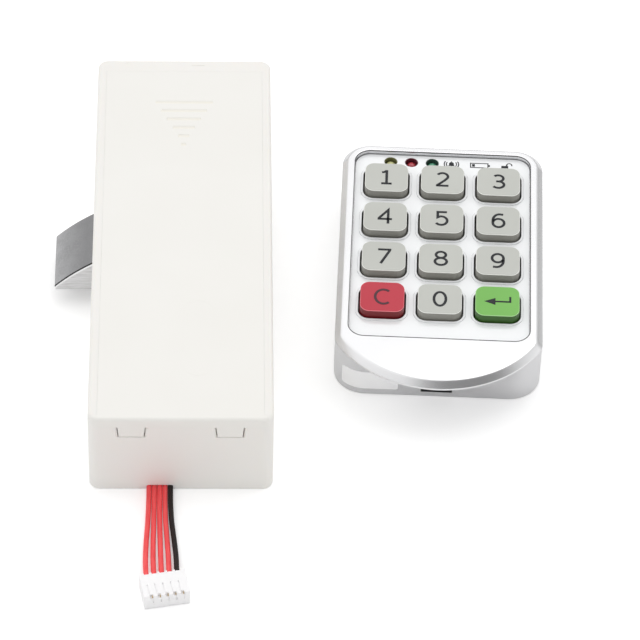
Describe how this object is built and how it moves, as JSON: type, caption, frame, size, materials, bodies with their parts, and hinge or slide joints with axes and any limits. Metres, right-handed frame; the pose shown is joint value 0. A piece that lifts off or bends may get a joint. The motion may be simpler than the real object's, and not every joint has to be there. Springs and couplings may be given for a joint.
{
  "type": "electronic cabinet lock",
  "caption": "Battery latch lock body with a sprung slam bolt and a slide-off battery cover, with its cable and plug, and a zinc keypad unit with push keys and status lamps.",
  "frame": {"origin": "centre of the lock body's mounting face, which is its back plate's outer face", "axes": "+Z out of the mounting face towards the battery cover, +Y along the lock body away from its cable, -X the way the bolt points; the keypad unit lies on the +X side"},
  "size_m": [0.1339, 0.1785, 0.0264],
  "materials": {
    "white_plastic": "fine satin moulding",
    "cell_wrap": "satin printed wrap, plain",
    "spring_steel": "nickel plated",
    "bolt_steel": "fine brushed",
    "moving_plastic": "acetal, satin",
    "brass": "machined",
    "circuit_board": "green solder mask",
    "connector_plastic": "natural nylon",
    "black_plastic": "fine matt",
    "screw_steel": "zinc plated",
    "wire_red": "smooth insulation",
    "wire_black": "smooth insulation",
    "satin_zinc": "satin silver",
    "face_white": "gloss, pearl white",
    "key_grey": "satin, warm grey",
    "key_red": "satin, red",
    "key_green": "satin, green",
    "silicone": "matt",
    "lamp_yellow": "tinted lens",
    "lamp_red": "tinted lens",
    "lamp_green": "tinted lens"
  },
  "bodies": {
    "lock_and_keypad": {"lock_housing": "white_plastic", "back_plate": "white_plastic", "mechanism_cover": "white_plastic", "battery_cell_1": "cell_wrap", "battery_cell_2": "cell_wrap", "battery_cell_3": "cell_wrap", "battery_cell_4": "cell_wrap", "battery_contact_1": "spring_steel", "battery_contact_2": "spring_steel", "battery_contact_3": "spring_steel", "battery_contact_4": "spring_steel", "battery_contact_5": "spring_steel", "mounting_insert_1": "brass", "mounting_insert_2": "brass", "gear_motor": "bolt_steel", "motor_clamp": "bolt_steel", "power_port": "bolt_steel", "junction_board": "circuit_board", "keypad_board": "circuit_board", "wire_header": "connector_plastic", "cable_connector": "connector_plastic", "cable_socket": "connector_plastic", "limit_switch": "black_plastic", "keypad_back_cover": "black_plastic", "buzzer": "black_plastic", "back_screw_1": "screw_steel", "back_screw_2": "screw_steel", "back_screw_3": "screw_steel", "back_screw_4": "screw_steel", "keypad_screw_1": "screw_steel", "keypad_screw_2": "screw_steel", "wire_red_1": "wire_red", "wire_red_2": "wire_red", "wire_red_3": "wire_red", "wire_red_4": "wire_red", "wire_black": "wire_black", "keypad_body": "satin_zinc", "face_plate": "face_white", "key_mat": "silicone", "led_yellow": "lamp_yellow", "led_red": "lamp_red", "led_green": "lamp_green"},
    "cover": {"battery_cover": "white_plastic"},
    "carriage": {"bolt_carriage": "moving_plastic", "bolt_spring": "spring_steel"},
    "bolt": {"latch_bolt": "bolt_steel"},
    "pinion": {"drive_pinion": "brass"},
    "button_clear": {"key_clear": "key_red"},
    "button_0": {"key_0": "key_grey"},
    "button_enter": {"key_enter": "key_green"},
    "button_7": {"key_7": "key_grey"},
    "button_8": {"key_8": "key_grey"},
    "button_9": {"key_9": "key_grey"},
    "button_4": {"key_4": "key_grey"},
    "button_5": {"key_5": "key_grey"},
    "button_6": {"key_6": "key_grey"},
    "button_1": {"key_1": "key_grey"},
    "button_2": {"key_2": "key_grey"},
    "button_3": {"key_3": "key_grey"}
  },
  "joints": [
    {"name": "cover_slide", "type": "slide", "parent": "lock_and_keypad", "child": "cover", "axis": [0, -1, 0], "range_m": [0, 0.128]},
    {"name": "carriage_slide", "type": "slide", "parent": "lock_and_keypad", "child": "carriage", "axis": [1, 0, 0], "range_m": [0, 0.0105]},
    {"name": "pinion_spin", "type": "hinge", "parent": "lock_and_keypad", "child": "pinion", "pos_m": [0.002, 0.02155, 0.01415], "axis": [0, 1, 0], "range_deg": [-125.4, 0]},
    {"name": "bolt_slide", "type": "slide", "parent": "carriage", "child": "bolt", "axis": [1, 0, 0], "range_m": [0, 0.0105], "stiffness_N_per_m": 250, "springref_m": -0.006, "deforming": ["bolt_spring"]},
    {"name": "press_clear", "type": "slide", "parent": "lock_and_keypad", "child": "button_clear", "axis": [0, 0, -1], "range_m": [0, 0.0012], "stiffness_N_per_m": 800, "springref_m": -0.0006, "deforming": ["key_mat"]},
    {"name": "press_0", "type": "slide", "parent": "lock_and_keypad", "child": "button_0", "axis": [0, 0, -1], "range_m": [0, 0.0012], "stiffness_N_per_m": 800, "springref_m": -0.0006, "deforming": ["key_mat"]},
    {"name": "press_enter", "type": "slide", "parent": "lock_and_keypad", "child": "button_enter", "axis": [0, 0, -1], "range_m": [0, 0.0012], "stiffness_N_per_m": 800, "springref_m": -0.0006, "deforming": ["key_mat"]},
    {"name": "press_7", "type": "slide", "parent": "lock_and_keypad", "child": "button_7", "axis": [0, 0, -1], "range_m": [0, 0.0012], "stiffness_N_per_m": 800, "springref_m": -0.0006, "deforming": ["key_mat"]},
    {"name": "press_8", "type": "slide", "parent": "lock_and_keypad", "child": "button_8", "axis": [0, 0, -1], "range_m": [0, 0.0012], "stiffness_N_per_m": 800, "springref_m": -0.0006, "deforming": ["key_mat"]},
    {"name": "press_9", "type": "slide", "parent": "lock_and_keypad", "child": "button_9", "axis": [0, 0, -1], "range_m": [0, 0.0012], "stiffness_N_per_m": 800, "springref_m": -0.0006, "deforming": ["key_mat"]},
    {"name": "press_4", "type": "slide", "parent": "lock_and_keypad", "child": "button_4", "axis": [0, 0, -1], "range_m": [0, 0.0012], "stiffness_N_per_m": 800, "springref_m": -0.0006, "deforming": ["key_mat"]},
    {"name": "press_5", "type": "slide", "parent": "lock_and_keypad", "child": "button_5", "axis": [0, 0, -1], "range_m": [0, 0.0012], "stiffness_N_per_m": 800, "springref_m": -0.0006, "deforming": ["key_mat"]},
    {"name": "press_6", "type": "slide", "parent": "lock_and_keypad", "child": "button_6", "axis": [0, 0, -1], "range_m": [0, 0.0012], "stiffness_N_per_m": 800, "springref_m": -0.0006, "deforming": ["key_mat"]},
    {"name": "press_1", "type": "slide", "parent": "lock_and_keypad", "child": "button_1", "axis": [0, 0, -1], "range_m": [0, 0.0012], "stiffness_N_per_m": 800, "springref_m": -0.0006, "deforming": ["key_mat"]},
    {"name": "press_2", "type": "slide", "parent": "lock_and_keypad", "child": "button_2", "axis": [0, 0, -1], "range_m": [0, 0.0012], "stiffness_N_per_m": 800, "springref_m": -0.0006, "deforming": ["key_mat"]},
    {"name": "press_3", "type": "slide", "parent": "lock_and_keypad", "child": "button_3", "axis": [0, 0, -1], "range_m": [0, 0.0012], "stiffness_N_per_m": 800, "springref_m": -0.0006, "deforming": ["key_mat"]}
  ],
  "couplings": [
    {"joint": "pinion_spin", "follows": "carriage_slide", "rad_per_m": -208.33}
  ]
}
